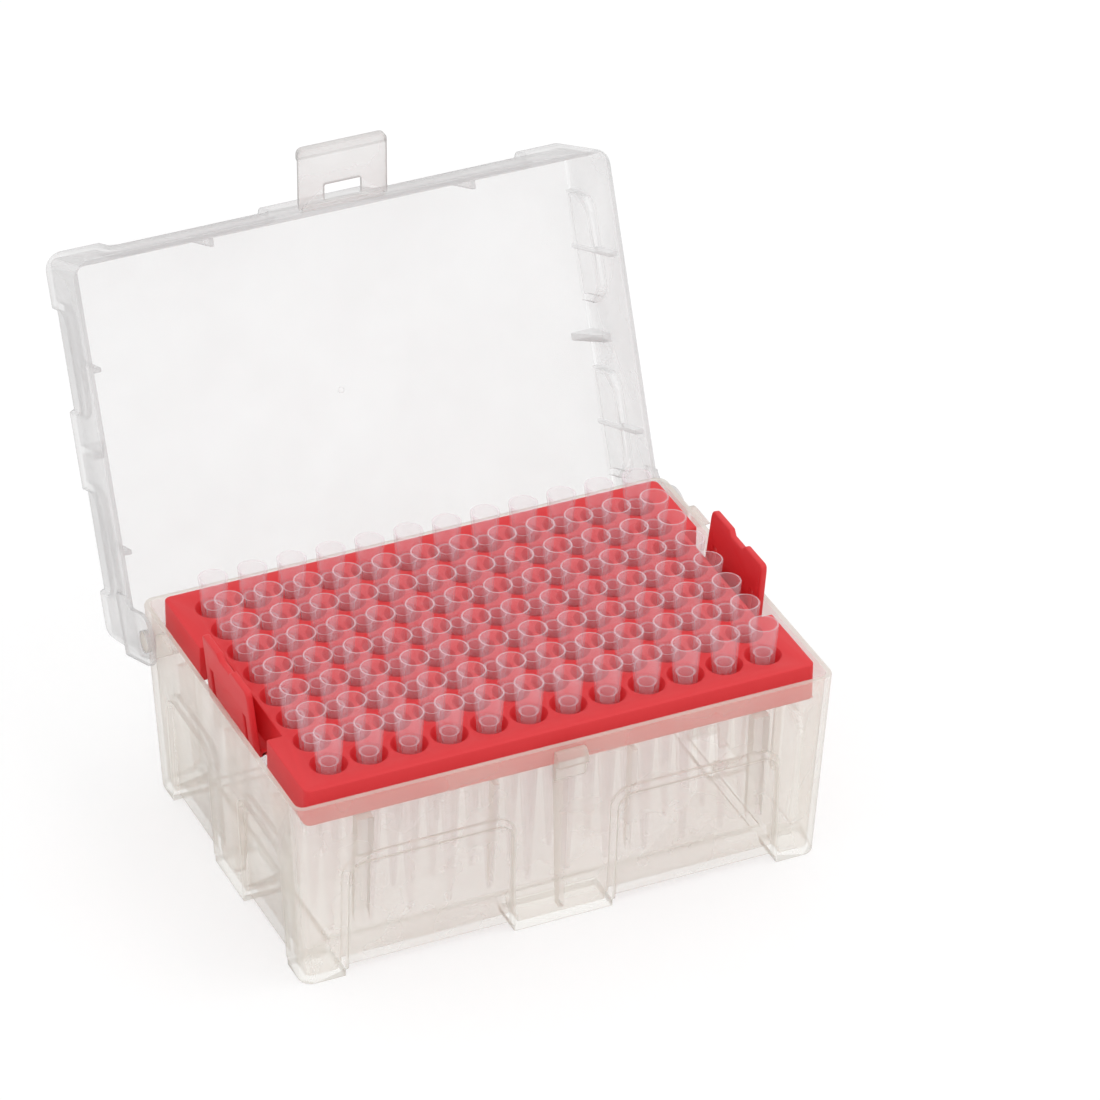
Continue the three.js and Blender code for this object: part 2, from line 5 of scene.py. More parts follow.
import bmesh
import bpy
from mathutils import Matrix, Vector
from mathutils.bvhtree import BVHTree
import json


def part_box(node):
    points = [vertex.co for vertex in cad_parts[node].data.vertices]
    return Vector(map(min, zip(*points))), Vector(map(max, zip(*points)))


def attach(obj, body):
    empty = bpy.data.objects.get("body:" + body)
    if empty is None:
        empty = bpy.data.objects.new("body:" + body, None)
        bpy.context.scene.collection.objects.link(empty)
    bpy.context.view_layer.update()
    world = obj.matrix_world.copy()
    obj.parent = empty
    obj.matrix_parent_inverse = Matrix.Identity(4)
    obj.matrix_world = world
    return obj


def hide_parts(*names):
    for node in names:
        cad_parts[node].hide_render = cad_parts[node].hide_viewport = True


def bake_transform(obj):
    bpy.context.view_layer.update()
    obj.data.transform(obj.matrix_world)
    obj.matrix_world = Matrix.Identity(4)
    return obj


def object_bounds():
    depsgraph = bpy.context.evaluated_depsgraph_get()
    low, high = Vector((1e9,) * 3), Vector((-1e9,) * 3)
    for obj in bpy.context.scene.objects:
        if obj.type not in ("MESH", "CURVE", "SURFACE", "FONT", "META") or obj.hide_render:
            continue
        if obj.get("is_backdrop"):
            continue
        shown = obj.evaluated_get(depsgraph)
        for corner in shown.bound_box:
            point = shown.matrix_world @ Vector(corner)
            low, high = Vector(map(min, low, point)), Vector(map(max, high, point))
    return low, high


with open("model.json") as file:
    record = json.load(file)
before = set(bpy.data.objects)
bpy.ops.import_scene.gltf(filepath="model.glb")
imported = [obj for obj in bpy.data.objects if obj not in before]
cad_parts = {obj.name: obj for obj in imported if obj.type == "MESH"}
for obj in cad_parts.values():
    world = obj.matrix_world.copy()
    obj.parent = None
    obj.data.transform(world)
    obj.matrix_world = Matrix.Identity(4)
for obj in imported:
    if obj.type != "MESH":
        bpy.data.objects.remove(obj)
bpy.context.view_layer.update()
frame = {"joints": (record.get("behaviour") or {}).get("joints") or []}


# Camera, floor and light
#
# The box is seen from the front left and from above, through a long lens that keeps its edges nearly
# parallel. It stands on a plain white floor, in even light from all round with one soft lamp over it.

mm = 0.001

base_width = 86 * mm
middle_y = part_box("base_box")[1].y - base_width / 2

azimuth = math.radians(-24.66)
elevation = math.radians(33.17)
roll = math.radians(0.49)
distance = 1388.6 * mm
aim = Vector((15.95 * mm, middle_y + 2.46 * mm, 62.77 * mm))

back = Vector((
    math.sin(azimuth) * math.cos(elevation),
    -math.cos(azimuth) * math.cos(elevation),
    math.sin(elevation),
))
camera = bpy.data.objects.new("camera", bpy.data.cameras.new("camera"))
camera.data.lens = 214.98
camera.data.sensor_width = 36
camera.data.clip_start = 0.1
camera.data.clip_end = 20
camera.location = aim + back * distance
camera.rotation_mode = "QUATERNION"
camera.rotation_quaternion = (-back).to_track_quat("-Z", "Y")
camera.rotation_quaternion.rotate(Matrix.Rotation(roll, 4, back).to_quaternion())
bpy.context.scene.collection.objects.link(camera)
bpy.context.scene.camera = camera


def srgb(colour):
    """A colour written as RRGGBB, turned to the linear values that a shader takes."""
    parts = [int(colour[i:i + 2], 16) / 255 for i in (0, 2, 4)]
    linear = [p / 12.92 if p <= 0.04045 else ((p + 0.055) / 1.055) ** 2.4 for p in parts]
    return (*linear, 1)


def add_node(tree, kind, inputs=None, **settings):
    """Adds a node. Its inputs are values, or the sockets that feed them."""
    node = tree.nodes.new(kind)
    for name, value in settings.items():
        setattr(node, name, value)
    for name, value in (inputs or {}).items():
        if isinstance(value, bpy.types.NodeSocket):
            tree.links.new(value, node.inputs[name])
        else:
            node.inputs[name].default_value = value
    return node


def new_material(name):
    """An empty node material, and the socket that its shader goes to."""
    material = bpy.data.materials.new(name)
    material.use_nodes = True
    tree = material.node_tree
    tree.nodes.clear()
    output = add_node(tree, "ShaderNodeOutputMaterial")
    return material, tree, output.inputs["Surface"]


def only(piece):
    """Selects one object and nothing else."""
    bpy.ops.object.select_all(action="DESELECT")
    piece.select_set(True)
    bpy.context.view_layer.objects.active = piece


def seen_rays(tree):
    """1 for the rays that show something: those of the camera, of gloss and of see-through plastic."""
    ray = add_node(tree, "ShaderNodeLightPath")
    direct = add_node(tree, "ShaderNodeMath", operation="MAXIMUM", inputs={
        0: ray.outputs["Is Camera Ray"], 1: ray.outputs["Is Glossy Ray"]})
    return add_node(tree, "ShaderNodeMath", operation="MAXIMUM", inputs={
        0: direct.outputs[0], 1: ray.outputs["Is Transmission Ray"]})


# The floor is matt white paper. To the camera it is lifted to white, with the soft shadow left on it, and
# through clear plastic it is plain white. All other light bounces from it as from paper.

floor_size = 6
bpy.ops.object.select_all(action="DESELECT")
bpy.ops.mesh.primitive_plane_add(size=floor_size)
floor = bpy.context.object
floor.name = "floor"
matt_white, tree, surface = new_material("matt_white_paper")
paper = add_node(tree, "ShaderNodeBsdfDiffuse", {"Color": srgb("F4F4F4")})
shaded = add_node(tree, "ShaderNodeBsdfDiffuse", {"Color": srgb("A4A4A4")})
lift = add_node(tree, "ShaderNodeEmission", {"Color": srgb("FFFFFF"), "Strength": 0.64})
lifted = add_node(tree, "ShaderNodeAddShader", {0: shaded.outputs[0], 1: lift.outputs[0]})
plain_white = add_node(tree, "ShaderNodeEmission", {"Color": srgb("FFFFFF"), "Strength": 1})
ray = add_node(tree, "ShaderNodeLightPath")
to_camera = add_node(tree, "ShaderNodeMixShader", {
    0: ray.outputs["Is Camera Ray"], 1: paper.outputs[0], 2: lifted.outputs[0]})
bent = add_node(tree, "ShaderNodeMath", operation="MAXIMUM", inputs={
    0: ray.outputs["Is Glossy Ray"], 1: ray.outputs["Is Transmission Ray"]})
straight = add_node(tree, "ShaderNodeMath", operation="MULTIPLY", use_clamp=True, inputs={
    0: ray.outputs["Is Camera Ray"], 1: ray.outputs["Transparent Depth"]})
through = add_node(tree, "ShaderNodeMath", operation="MAXIMUM", inputs={
    0: bent.outputs[0], 1: straight.outputs[0]})
shown = add_node(tree, "ShaderNodeMixShader", {
    0: through.outputs[0], 1: to_camera.outputs[0], 2: plain_white.outputs[0]})
tree.links.new(shown.outputs[0], surface)
floor.data.materials.append(matt_white)
floor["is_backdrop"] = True

world = bpy.data.worlds.new("studio")
bpy.context.scene.world = world
world.use_nodes = True
world.node_tree.nodes.clear()
even = add_node(world.node_tree, "ShaderNodeBackground", {"Color": srgb("FFFFFF"), "Strength": 0.96})
white = add_node(world.node_tree, "ShaderNodeBackground", {"Color": srgb("FFFFFF"), "Strength": 1})
sky = add_node(world.node_tree, "ShaderNodeMixShader",
               {0: seen_rays(world.node_tree).outputs[0], 1: even.outputs[0], 2: white.outputs[0]})
add_node(world.node_tree, "ShaderNodeOutputWorld", {"Surface": sky.outputs[0]})

lamp = bpy.data.objects.new("soft_lamp", bpy.data.lights.new("soft_lamp", "AREA"))
lamp.data.shape = "DISK"
lamp.data.size = 0.7
lamp.data.energy = 2.5
lamp.location = (0.55, -0.35, 1.2)
lamp.rotation_mode = "QUATERNION"
lamp.rotation_quaternion = (Vector((0, 0, 0.05)) - lamp.location).to_track_quat("-Z", "Y")
bpy.context.scene.collection.objects.link(lamp)

bpy.context.scene.view_settings.view_transform = "Standard"

# Light has to get in and out through many clear walls, and a line of sight crosses dozens of tips.

cycles = bpy.context.scene.cycles
cycles.max_bounces = cycles.diffuse_bounces = cycles.glossy_bounces = cycles.transmission_bounces = 32
cycles.transparent_max_bounces = 160


# The base
#
# A deep tub moulded in clear polypropylene, its walls drafted so that it leaves the mould. Recessed panels
# leave columns at its corners and in the middle of its sides, and the columns end in low feet.

base_length = 123.2 * mm
base_height = 46.3 * mm
base_corner = 3 * mm
base_lean = 0.0475
base_wall = 1.3 * mm
hair = 0.01 * mm


def block(name, low, high):
    """A block between two corners, in metres."""
    low, high = Vector(low), Vector(high)
    bpy.ops.object.select_all(action="DESELECT")
    bpy.ops.mesh.primitive_cube_add(size=1, location=(low + high) / 2, scale=high - low)
    bpy.ops.object.transform_apply(location=True, rotation=True, scale=True)
    bpy.context.object.name = name
    return bpy.context.object


def edit(piece, kind, wanted):
    """Goes into edit mode with the faces, edges or vertices selected that `wanted` says yes to."""
    only(piece)
    bpy.ops.object.mode_set(mode="EDIT")
    bpy.ops.mesh.select_mode(type=kind)
    bpy.ops.mesh.select_all(action="DESELECT")
    shape = bmesh.from_edit_mesh(piece.data)
    for part in {"FACE": shape.faces, "EDGE": shape.edges, "VERT": shape.verts}[kind]:
        part.select = bool(wanted(part))
    shape.select_flush_mode()
    bmesh.update_edit_mesh(piece.data)


def done():
    """Leaves edit mode."""
    bpy.ops.object.mode_set(mode="OBJECT")


def middle(part):
    """The middle of a face's or an edge's corners."""
    return sum((v.co for v in part.verts), Vector()) / len(part.verts)


def along(edge, axis):
    """True if an edge runs mostly along this axis (0, 1 or 2)."""
    way = edge.verts[1].co - edge.verts[0].co
    return abs(way[axis]) > 0.9 * way.length


def apply_modifier(piece, kind, **settings):
    """Adds a modifier with its settings and applies it at once."""
    modifier = piece.modifiers.new(kind.lower(), kind)
    for name, value in settings.items():
        setattr(modifier, name, value)
    only(piece)
    bpy.ops.object.modifier_apply(modifier=modifier.name)


def combine(piece, tool, operation):
    """Joins the tool to the piece, or cuts it out, and removes the tool."""
    apply_modifier(piece, "BOOLEAN", object=tool, operation=operation, solver="MANIFOLD")
    bpy.data.objects.remove(tool)


def gather(tools):
    """Makes several separate objects one, so that they cut or join in one go."""
    bpy.ops.object.select_all(action="DESELECT")
    for tool in tools:
        tool.select_set(True)
    bpy.context.view_layer.objects.active = tools[0]
    bpy.ops.object.join()
    return tools[0]


def copy_of(piece, name, placing):
    """A copy with its own mesh, moved by a matrix."""
    copy = piece.copy()
    copy.data = piece.data.copy()
    copy.name = name
    copy.data.transform(placing)
    bpy.context.scene.collection.objects.link(copy)
    return copy


def tub_block(name, length, width, height, corner, lean, edge):
    """The outside of a drafted tub, drawn with its wide side up at `height` and the other end at z = 0."""
    tub = block(name, (-length / 2, -width / 2, 0), (length / 2, width / 2, height))
    edit(tub, "FACE", lambda face: face.normal.z < -0.9)
    inset = 2 * lean * height
    bpy.ops.transform.resize(value=(1 - inset / length, 1 - inset / width, 1), center_override=(0, 0, 0))
    done()
    edit(tub, "EDGE", lambda e: along(e, 2))
    bpy.ops.mesh.bevel(offset=corner, segments=8, affect="EDGES")
    done()
    if edge:
        edit(tub, "EDGE", lambda e: middle(e).z < height * 0.01 and not along(e, 2))
        bpy.ops.mesh.bevel(offset=edge, segments=4, affect="EDGES")
        done()
    return tub


def panel_cutter(width, height, depth, ledge, corner, lean):
    """Cuts one recessed panel into a wall that faces -y and stands at y = 0. Its foot is at z = 0."""
    below = 3 * mm
    cutter = block("panel_cutter", (-width / 2, -3 * depth, -below), (width / 2, depth, height))
    edit(cutter, "EDGE", lambda e: along(e, 1) and middle(e).z > 0)
    bpy.ops.mesh.bevel(offset=corner, segments=5, affect="EDGES")
    done()
    edit(cutter, "FACE", lambda face: face.normal.y > 0.9)
    narrowed = (1 - 2 * ledge / width, 1, 1 - ledge / (height + below))
    bpy.ops.transform.resize(value=narrowed, center_override=(0, 0, -below))
    done()
    cutter.data.transform(Matrix.Rotation(math.atan(lean), 4, "X"))
    return cutter


def walls(length, width):
    """Each wall's turn from the front one, and its distance from the middle."""
    return [(turn * math.pi / 2, (width, length)[turn % 2] / 2) for turn in range(4)]


corner_column_end = 9.7 * mm
corner_column_side = 8.6 * mm
middle_column_front = 22.8 * mm
middle_column_side = 16 * mm
foot_inset = base_height * base_lean
front_panel = (middle_column_front / 2, base_length / 2 - foot_inset - corner_column_end)
side_panel = (middle_column_side / 2, base_width / 2 - foot_inset - corner_column_side)
panel_depth = 1.4 * mm


def cut_panels(tub, length, width, height, lean, panel_height, grow=0):
    """Cuts two panels into each wall of a tub. `grow` makes them wider and higher, for the tub's hollow."""
    ledge, corner = 0.8 * mm, 3.5 * mm
    cutters = []
    for turn, reach in walls(length, width):
        low, high = side_panel if reach == length / 2 else front_panel
        master = panel_cutter(high - low + 2 * grow, panel_height + grow, panel_depth,
                              ledge, corner + grow, lean)
        for side in (-1, 1):
            place = Matrix.Rotation(turn, 4, "Z") @ Matrix.Translation((
                side * (low + high) / 2, -reach + height * lean, 0))
            cutters.append(copy_of(master, "panel", place))
        bpy.data.objects.remove(master)
    combine(tub, gather(cutters), "DIFFERENCE")


def open_shell(tub, height, wall):
    """Opens a block at its wide side, and gives it a wall inwards."""
    edit(tub, "FACE", lambda face: face.normal.z > 0.9 and middle(face).z > height - hair)
    bpy.ops.mesh.delete(type="ONLY_FACE")
    done()
    apply_modifier(tub, "SOLIDIFY", thickness=wall, offset=-1, use_even_offset=True)


def soften(piece, width, segments=2, angle=35):
    """Rounds every edge sharper than the angle."""
    apply_modifier(piece, "BEVEL", width=width, segments=segments, limit_method="ANGLE",
                   angle_limit=math.radians(angle), use_clamp_overlap=False, harden_normals=False)


foot_height = 1.7 * mm
floor_rise = 1 * mm
floor_margin_end = 9 * mm
floor_margin_side = 9.3 * mm
panel_height = 29.2 * mm
base_shell = tub_block("base_shell", base_length, base_width, base_height, base_corner, base_lean, 0)
cut_panels(base_shell, base_length, base_width, base_height, base_lean, panel_height)
between_feet = []
for sign in (-1, 1):
    low, high = sorted((sign * front_panel[0], sign * front_panel[1]))
    between_feet.append(block("under", (low, -base_width, -foot_height), (high, base_width, foot_height)))
combine(base_shell, gather(between_feet), "DIFFERENCE")
between_feet = []
for sign in (-1, 1):
    low, high = sorted((sign * side_panel[0], sign * side_panel[1]))
    between_feet.append(block("under", (-base_length, low, -foot_height), (base_length, high, foot_height)))
combine(base_shell, gather(between_feet), "DIFFERENCE")
half_x = base_length / 2 - foot_inset - floor_margin_end - base_wall
half_y = base_width / 2 - foot_inset - floor_margin_side - base_wall
raised = block("raised", (-half_x, -half_y, -foot_height), (half_x, half_y, foot_height + floor_rise))
combine(base_shell, raised, "DIFFERENCE")
open_shell(base_shell, base_height, base_wall)
soften(base_shell, 0.3 * mm)


def plate(name, outline, thickness, x=0):
    """A plate that stands across x, with this outline of (y, z) points."""
    start = Vector((x - thickness / 2, *outline[0]))
    bpy.ops.object.select_all(action="DESELECT")
    bpy.ops.mesh.primitive_plane_add(size=mm, location=start)
    bpy.ops.object.transform_apply(location=True)
    piece = bpy.context.object
    piece.name = name
    bpy.ops.object.mode_set(mode="EDIT")
    bpy.ops.mesh.select_mode(type="VERT")
    bpy.ops.mesh.select_all(action="SELECT")
    bpy.ops.mesh.merge(type="CENTER")
    here = start
    for y, z in [*outline[1:], outline[0]]:
        there = Vector((start.x, y, z))
        bpy.ops.mesh.extrude_region_move(TRANSFORM_OT_translate={"value": there - here})
        here = there
    bpy.ops.mesh.select_all(action="SELECT")
    bpy.ops.mesh.remove_doubles(threshold=0.001 * mm)
    bpy.ops.mesh.edge_face_add()
    bpy.ops.mesh.extrude_region_move(TRANSFORM_OT_translate={"value": (thickness, 0, 0)})
    bpy.ops.mesh.select_all(action="SELECT")
    bpy.ops.mesh.normals_make_consistent(inside=False)
    done()
    return piece


def moved(piece, placing):
    """The piece itself, its mesh moved by a matrix."""
    piece.data.transform(placing)
    return piece


def rod(name, radius, length, at, sides=48):
    """A round rod along x, centred at `at`."""
    bpy.ops.object.select_all(action="DESELECT")
    bpy.ops.mesh.primitive_cylinder_add(vertices=sides, radius=radius, depth=length, location=at,
                                        rotation=(0, math.pi / 2, 0))
    bpy.ops.object.transform_apply(location=True, rotation=True)
    bpy.context.object.name = name
    return bpy.context.object


mirrored = Matrix.Scale(-1, 4, (1, 0, 0))


def both_sides(piece):
    """The piece and its mirror image across x, as one object."""
    other = copy_of(piece, piece.name + "_left", mirrored)
    edit(other, "FACE", lambda face: True)
    bpy.ops.mesh.flip_normals()
    done()
    return gather([piece, other])


# Ribs carry the deck: each leans on the inside of a wall, and ends just under the deck's skirt.

deck_length = 116 * mm
deck_width = 78.8 * mm
deck_height = 8.7 * mm
deck_top = base_height + 2.2 * mm
grid_shift = -0.7 * mm
rib_top = deck_top - deck_height - 0.5 * mm
rib_thickness = 1.2 * mm
rib_lap = 1.6 * mm
wing_width = 24.4 * mm
pocket_half = wing_width / 2 + 6.3 * mm
over_panel = 0.6 * mm


def inner_at(reach, z):
    """How far the inside of a wall is from the middle, at this height."""
    return reach - base_wall - (base_height - z) * base_lean


def round_free_edge(piece):
    """Rounds the two long edges on the side of a rib that faces into the tub."""
    inmost = max(v.co.y for v in piece.data.vertices)

    def is_free(edge):
        upright = along(edge, 2) and len({round(v.co.x / mm, 3) for v in edge.verts}) == 1
        return upright and middle(edge).y > inmost - 2 * mm and edge.calc_length() > 5 * mm

    edit(piece, "EDGE", is_free)
    bpy.ops.mesh.bevel(offset=0.25 * mm, segments=2, affect="EDGES")
    done()
    return piece


def rib(turn, reach, across, thickness, foot, taper, depth_foot, depth_top, recess=0):
    """A rib on the inside of one wall, `across` from the wall's middle, rooted behind its panel."""
    root, step = base_wall / 2 - recess, panel_height + over_panel
    outline = [
        (-inner_at(reach, foot) - root, foot),
        (-inner_at(reach, foot + taper) + depth_foot, foot + taper),
        (-inner_at(reach, rib_top) + depth_top, rib_top),
        (-inner_at(reach, rib_top) - base_wall / 2, rib_top),
        (-inner_at(reach, step) - base_wall / 2, step),
        (-inner_at(reach, step) - root, step - hair),
    ]
    return moved(round_free_edge(plate("rib", outline, thickness, across)), Matrix.Rotation(turn, 4, "Z"))


middle_rib_foot, middle_rib_top = 2.5 * mm, 6 * mm
side_rib_start, side_rib_taper = 11 * mm, 3 * mm
inner_rib_at = 15.75 * mm
outer_rib_margin, outer_rib_thickness = 12.8 * mm, 3.6 * mm
pocket_rib_margin = 7.5 * mm
ribs = []
deck_reach = [deck_width / 2 - grid_shift, deck_length / 2, deck_width / 2 + grid_shift, deck_length / 2]
for (turn, reach), beside in zip(walls(base_length, base_width), deck_reach):
    ribs.append(rib(turn, reach, 0, rib_thickness, foot_height + base_wall / 2, hair,
                    middle_rib_foot, middle_rib_top))
    depth = inner_at(reach, rib_top) - beside + rib_lap
    if reach == base_length / 2:
        places = [(pocket_half + pocket_rib_margin, rib_thickness)]
    else:
        places = [(inner_rib_at, rib_thickness), (deck_length / 2 - outer_rib_margin, outer_rib_thickness)]
    for across, thickness in places:
        for side in (-1, 1):
            ribs.append(rib(turn, reach, side * across, thickness, side_rib_start, side_rib_taper,
                            depth, depth, panel_depth))
combine(base_shell, gather(ribs), "UNION")
apply_modifier(base_shell, "TRIANGULATE")

# The hinge pins, the guards in front of the lid's ears, and the catch under the front rim.

lid_joint = next(joint for joint in frame["joints"] if joint["name"] == "lid_hinge")
pivot = Vector(lid_joint["pos_m"]) - Vector((0, middle_y, 0))
pin_radius = 2.4 * mm
pin_reach = 1.3 * mm
ear_radius = 5.8 * mm
ear_middle = pivot.y - 0.5 * mm
ear_fillet = 2.6 * mm


def arc(y, z, radius, start, end, steps):
    """Points round part of a circle, from one angle to another, in degrees from +y."""
    angles = [math.radians(start + (end - start) * i / steps) for i in range(steps + 1)]
    return [(y + radius * math.cos(a), z + radius * math.sin(a)) for a in angles]


pin_length = base_wall + pin_reach
pin = rod("pin", pin_radius, pin_length, (base_length / 2 + pin_reach - pin_length / 2, pivot.y, pivot.z))
soften(pin, 0.3 * mm, segments=3)
guard_length = 7.4 * mm
guard_rear = ear_middle - ear_radius - 0.8 * mm
guard = plate("guard", [
    (guard_rear - guard_length - ear_fillet, base_height),
    *arc(guard_rear - ear_fillet, base_height - ear_fillet, ear_fillet, 90, 0, 6),
    (guard_rear, pivot.z),
], pin_length, base_length / 2 + pin_reach - pin_length / 2)
soften(guard, 0.25 * mm, segments=3, angle=50)
combine(base_shell, both_sides(gather([pin, guard])), "UNION")

flap_joint = next(joint for joint in frame["joints"] if joint["name"] == "latch_hinge")
lid_turned = Matrix.Rotation(-math.radians(lid_joint["range_deg"][1]), 4, "X")
lid_open = Matrix.Translation(pivot) @ lid_turned @ Matrix.Translation(-pivot)
film_line = lid_open.inverted() @ (Vector(flap_joint["pos_m"]) - Vector((0, middle_y, 0)))
flap_thickness = 1 * mm
flap_face = film_line.y - 0.1 * mm
window_top = film_line.z - 1.4 * mm
window_height = 4 * mm
catch_root = base_wall / 2 - base_width / 2
catch_foot = flap_face + 0.45 * mm
catch_hook = flap_face - flap_thickness + 0.15 * mm
catch_top = base_height - 1.1 * mm
catch_foot_height = 2.8 * mm
catch_width = 7 * mm
hook_foot = window_top - window_height + 0.45 * mm
catch = plate("catch", [
    (catch_root, catch_top),
    (catch_foot, catch_top),
    (catch_hook, catch_top - (catch_foot - catch_hook)),
    (catch_hook, hook_foot + 0.45 * mm),
    (catch_foot, hook_foot),
    (catch_foot, hook_foot - catch_foot_height),
    (catch_root, hook_foot - catch_foot_height - (catch_root - catch_foot)),
], catch_width)
soften(catch, 0.25 * mm, segments=3)
combine(base_shell, catch, "UNION")

# Clear polypropylene is never quite clear: its crystals scatter some light, so it looks like thin milk, and
# denser where it is thicker or the eye looks along it. The mould's fine spark finish leaves it satin. That
# grain is drawn half a millimetre wide, coarser than it is, so that it shows.

grain_width = 0.5 * mm
grain_depth = 0.02 * mm
deepest_in_mm = 4


def measure_thickness(piece):
    """Stores on each face how thick the plastic is behind it, in millimetres: the least of four places."""
    apply_modifier(piece, "TRIANGULATE")
    mesh = piece.data
    solid = BVHTree.FromPolygons([v.co for v in mesh.vertices], [p.vertices for p in mesh.polygons])
    thickness = mesh.attributes.new("thickness", "FLOAT", "FACE")
    for face in mesh.polygons:
        corners = [mesh.vertices[i].co for i in face.vertices]
        depths = []
        for place in [face.center, *(face.center.lerp(corner, 0.6) for corner in corners)]:
            hit = solid.ray_cast(place - face.normal * 0.002 * mm, -face.normal)
            depths.append(hit[3] if hit[0] else 0)
        thickness.data[face.index].value = min(depths) / mm


def milky_plastic(name, colour, roughness, density, flow):
    """Clear plastic that hides what is behind it by `density` for each millimetre, and more where it slants
    away. The haze comes and goes a little as the plastic flowed, every `flow` metres. Slanting and thick
    places get a painted shade: their colour is made greyer."""
    material, tree, surface = new_material(name)
    place = add_node(tree, "ShaderNodeTexCoord")
    grain = add_node(tree, "ShaderNodeTexNoise", {
        "Vector": place.outputs["Object"], "Scale": 1 / grain_width, "Detail": 2})
    bump = add_node(tree, "ShaderNodeBump", {
        "Height": grain.outputs[0], "Strength": 0.1, "Distance": grain_depth})
    cloud = add_node(tree, "ShaderNodeTexNoise", {
        "Vector": place.outputs["Object"], "Scale": 1 / flow, "Detail": 3})
    uneven = add_node(tree, "ShaderNodeMapRange", {
        "Value": cloud.outputs[0], "From Min": 0.3, "From Max": 0.7,
        "To Min": -0.85 * density, "To Max": -1.15 * density})
    measured = add_node(tree, "ShaderNodeAttribute", attribute_name="thickness")
    thick = add_node(tree, "ShaderNodeMath", {0: measured.outputs["Fac"], 1: deepest_in_mm}, operation="MINIMUM")
    facing = add_node(tree, "ShaderNodeLayerWeight", {"Blend": 0.5})
    slant = add_node(tree, "ShaderNodeMath", {0: 1.25, 1: facing.outputs["Facing"]}, operation="SUBTRACT")
    along_ray = add_node(tree, "ShaderNodeMath", operation="DIVIDE", inputs={
        0: thick.outputs[0], 1: slant.outputs[0]})
    hidden = add_node(tree, "ShaderNodeMath", operation="MULTIPLY", inputs={
        0: along_ray.outputs[0], 1: uneven.outputs[0]})
    clear = add_node(tree, "ShaderNodeMath", {0: hidden.outputs[0]}, operation="EXPONENT")
    # Painted shade: the colour is darkened where the plastic slants away from the eye and where it is thick.
    painted_slant_shade = add_node(tree, "ShaderNodeMapRange", {
        "Value": facing.outputs["Facing"], "From Min": 0.5, "From Max": 1, "To Min": 1, "To Max": 0.6})
    painted_thick_shade = add_node(tree, "ShaderNodeMapRange", {
        "Value": thick.outputs[0], "From Min": 1.5, "From Max": deepest_in_mm,
        "To Min": 1, "To Max": 0.72})
    painted_shade_factor = add_node(tree, "ShaderNodeMath", operation="MULTIPLY", inputs={
        0: painted_slant_shade.outputs[0], 1: painted_thick_shade.outputs[0]})
    tint = add_node(tree, "ShaderNodeVectorMath", operation="SCALE", inputs={
        0: srgb(colour)[:3], "Scale": painted_shade_factor.outputs[0]})
    skin = add_node(tree, "ShaderNodeBsdfPrincipled", {
        "Base Color": tint.outputs[0],
        "Roughness": roughness,
        "IOR": 1.49,
        "Normal": bump.outputs[0],
    })
    glow_through = add_node(tree, "ShaderNodeBsdfTranslucent", {"Color": srgb(colour)})
    milk = add_node(tree, "ShaderNodeMixShader", {0: 0.12, 1: skin.outputs[0], 2: glow_through.outputs[0]})
    open_way = add_node(tree, "ShaderNodeBsdfTransparent")
    plastic = add_node(tree, "ShaderNodeMixShader", {
        0: clear.outputs[0], 1: milk.outputs[0], 2: open_way.outputs[0]})
    tree.links.new(plastic.outputs[0], surface)
    return material


def finish_piece(piece, material, body, nodes, angle=35):
    """Gives a piece its material, smooth faces and its place in the frame."""
    piece.data.materials.clear()
    piece.data.materials.append(material)
    only(piece)
    bpy.ops.object.shade_smooth_by_angle(angle=math.radians(angle))
    if body:
        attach(piece, body)
    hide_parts(*nodes)


# The base is the warm milky white of the plain plastic.

in_frame = Matrix.Translation((0, middle_y, 0))
measure_thickness(base_shell)
base_plastic = milky_plastic("moulded_clear_polypropylene_base", "FFFAEF", 0.35, 0.2, 14 * mm)
finish_piece(moved(base_shell, in_frame), base_plastic, "base", ["base_box"])


# The lid
#
# A shallow tub moulded like the base, upside down over it, its panels and columns in line with the base's.
# Ears on its end walls hang down over the pins, and the pins turn in the eyes through them. A fin inside
# each end wall holds the red deck's wing down when the lid is shut.

lid_length = base_length + 2.2 * mm
lid_width = base_width + 2.2 * mm
lid_height = 21.8 * mm
lid_wall = 1.2 * mm
lid_lean = 0.03
lid_rim = base_height + 0.4 * mm
lid_top = lid_rim + lid_height
lid_corner, lid_edge = 4 * mm, 1.5 * mm
lid_shell = tub_block("lid_shell", lid_length, lid_width, lid_height, lid_corner, lid_lean, lid_edge)
lid_panel_height = 10.5 * mm
cut_panels(lid_shell, lid_length, lid_width, lid_height, lid_lean, lid_panel_height)
hollow_length, hollow_width = lid_length - 2 * lid_wall, lid_width - 2 * lid_wall
hollow_corner, hollow_edge = 1.5 * mm, 0.4 * mm
lid_hollow = tub_block("lid_hollow", hollow_length, hollow_width, lid_height, hollow_corner, lid_lean,
                       hollow_edge)
cut_panels(lid_hollow, hollow_length, hollow_width, lid_height, lid_lean, lid_panel_height - lid_wall,
           grow=lid_wall)
moved(lid_hollow, Matrix.Translation((0, 0, lid_wall)))
combine(lid_shell, lid_hollow, "DIFFERENCE")
soften(lid_shell, 0.25 * mm)

